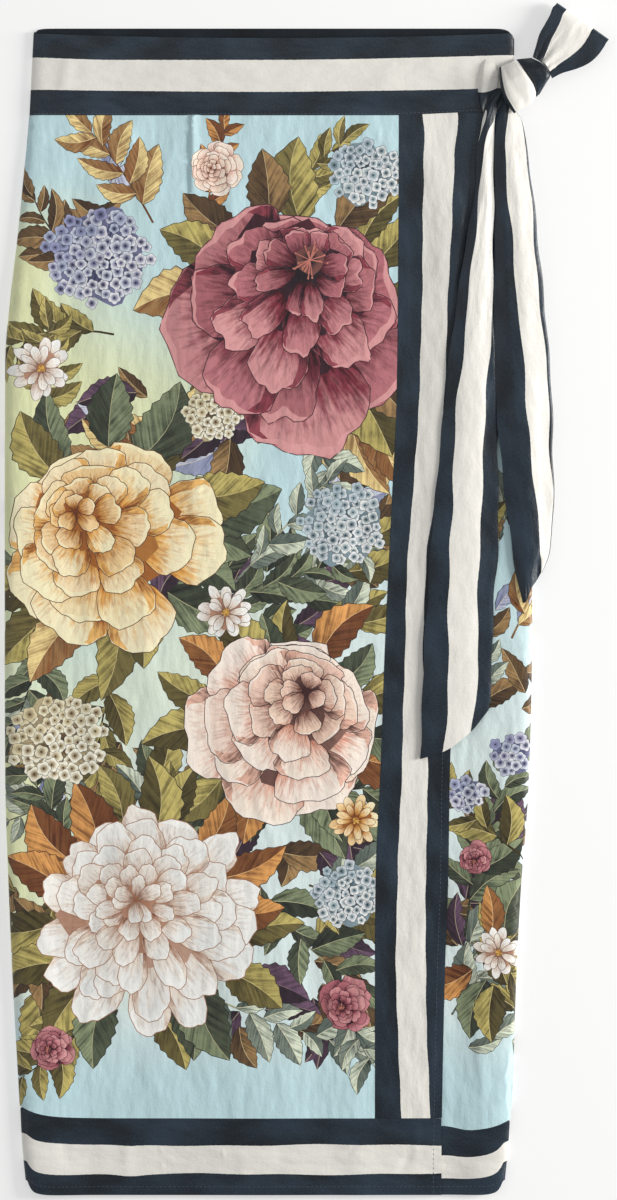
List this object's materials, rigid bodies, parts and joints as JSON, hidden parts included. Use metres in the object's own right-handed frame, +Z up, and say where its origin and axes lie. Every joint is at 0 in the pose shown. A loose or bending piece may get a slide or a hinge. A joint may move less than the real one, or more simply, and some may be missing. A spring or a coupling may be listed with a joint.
{
  "type": "wrap skirt",
  "caption": "Long wrap skirt laid flat, with an overlapping front, striped borders and waistband, and a half bow tied at the side.",
  "frame": {"origin": "on the surface that the skirt lies on, under the middle of the box round the skirt and its bow", "axes": "+X across the skirt towards the bow, +Y up the skirt towards the waist, +Z up from the surface"},
  "size_m": [0.4654, 0.918, 0.0193],
  "materials": {
    "printed_satin": "satin weave with a soft sheen, pale aqua ground under a large floral print",
    "striped_satin": "satin weave with a soft sheen, one ivory stripe between two dark slate stripes"
  },
  "bodies": {
    "root": {"over_panel": "printed_satin", "under_panel": "printed_satin", "back_panel": "printed_satin", "front_band": "striped_satin", "over_hem_band": "striped_satin", "under_hem_band": "striped_satin", "back_hem_band": "striped_satin", "waistband_front": "striped_satin", "waistband_back": "striped_satin", "waistband_under": "striped_satin", "tie_root": "striped_satin", "knot_strap": "striped_satin", "knot_neck": "striped_satin", "tie_loop": "striped_satin", "tie_tail_long": "striped_satin", "tie_tail_short": "striped_satin"}
  },
  "joints": []
}
